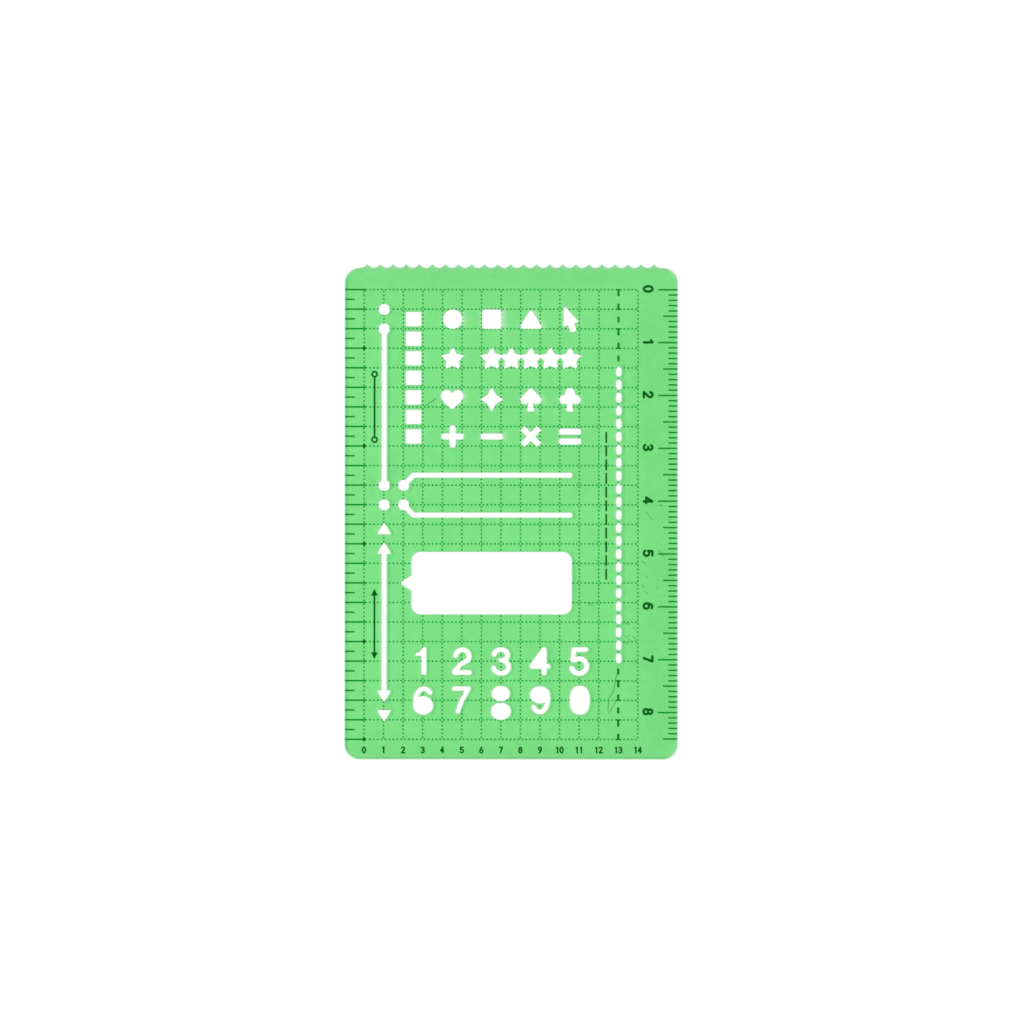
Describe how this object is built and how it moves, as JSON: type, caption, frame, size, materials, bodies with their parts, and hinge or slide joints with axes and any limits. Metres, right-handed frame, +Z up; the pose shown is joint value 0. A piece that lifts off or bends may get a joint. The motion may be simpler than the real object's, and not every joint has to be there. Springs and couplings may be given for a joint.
{
  "type": "drawing stencil",
  "caption": "Thin translucent plastic drawing stencil with cut-out shapes, symbols, digits and speech forms, printed scales and a scalloped edge.",
  "frame": {"origin": "middle of the underside, on the surface that the sheet lies on", "axes": "+X across the sheet's width towards the millimetre scale, +Y along its length towards the scalloped edge, +Z up through its thickness towards the printed face"},
  "size_m": [0.063, 0.0936, 0.0005],
  "materials": {
    "green_plastic": "smooth satin translucent polypropylene, light grass green",
    "green_ink": "thin matt screen-printed dark green ink"
  },
  "bodies": {
    "root": {"stencil_sheet": "green_plastic", "left_scale_print": "green_ink", "millimetre_scale_print": "green_ink", "scale_numeral_0": "green_ink", "scale_numeral_1": "green_ink", "scale_numeral_2": "green_ink", "scale_numeral_3": "green_ink", "scale_numeral_4": "green_ink", "scale_numeral_5": "green_ink", "scale_numeral_6": "green_ink", "scale_numeral_7": "green_ink", "scale_numeral_8": "green_ink", "guide_dash_01": "green_ink", "guide_dash_02": "green_ink", "guide_dash_03": "green_ink", "guide_dash_04": "green_ink", "guide_dash_05": "green_ink", "guide_dash_06": "green_ink", "guide_dash_07": "green_ink", "guide_dash_08": "green_ink", "guide_dash_09": "green_ink", "guide_dash_10": "green_ink", "guide_dash_11": "green_ink", "guide_dash_12": "green_ink"}
  },
  "joints": []
}
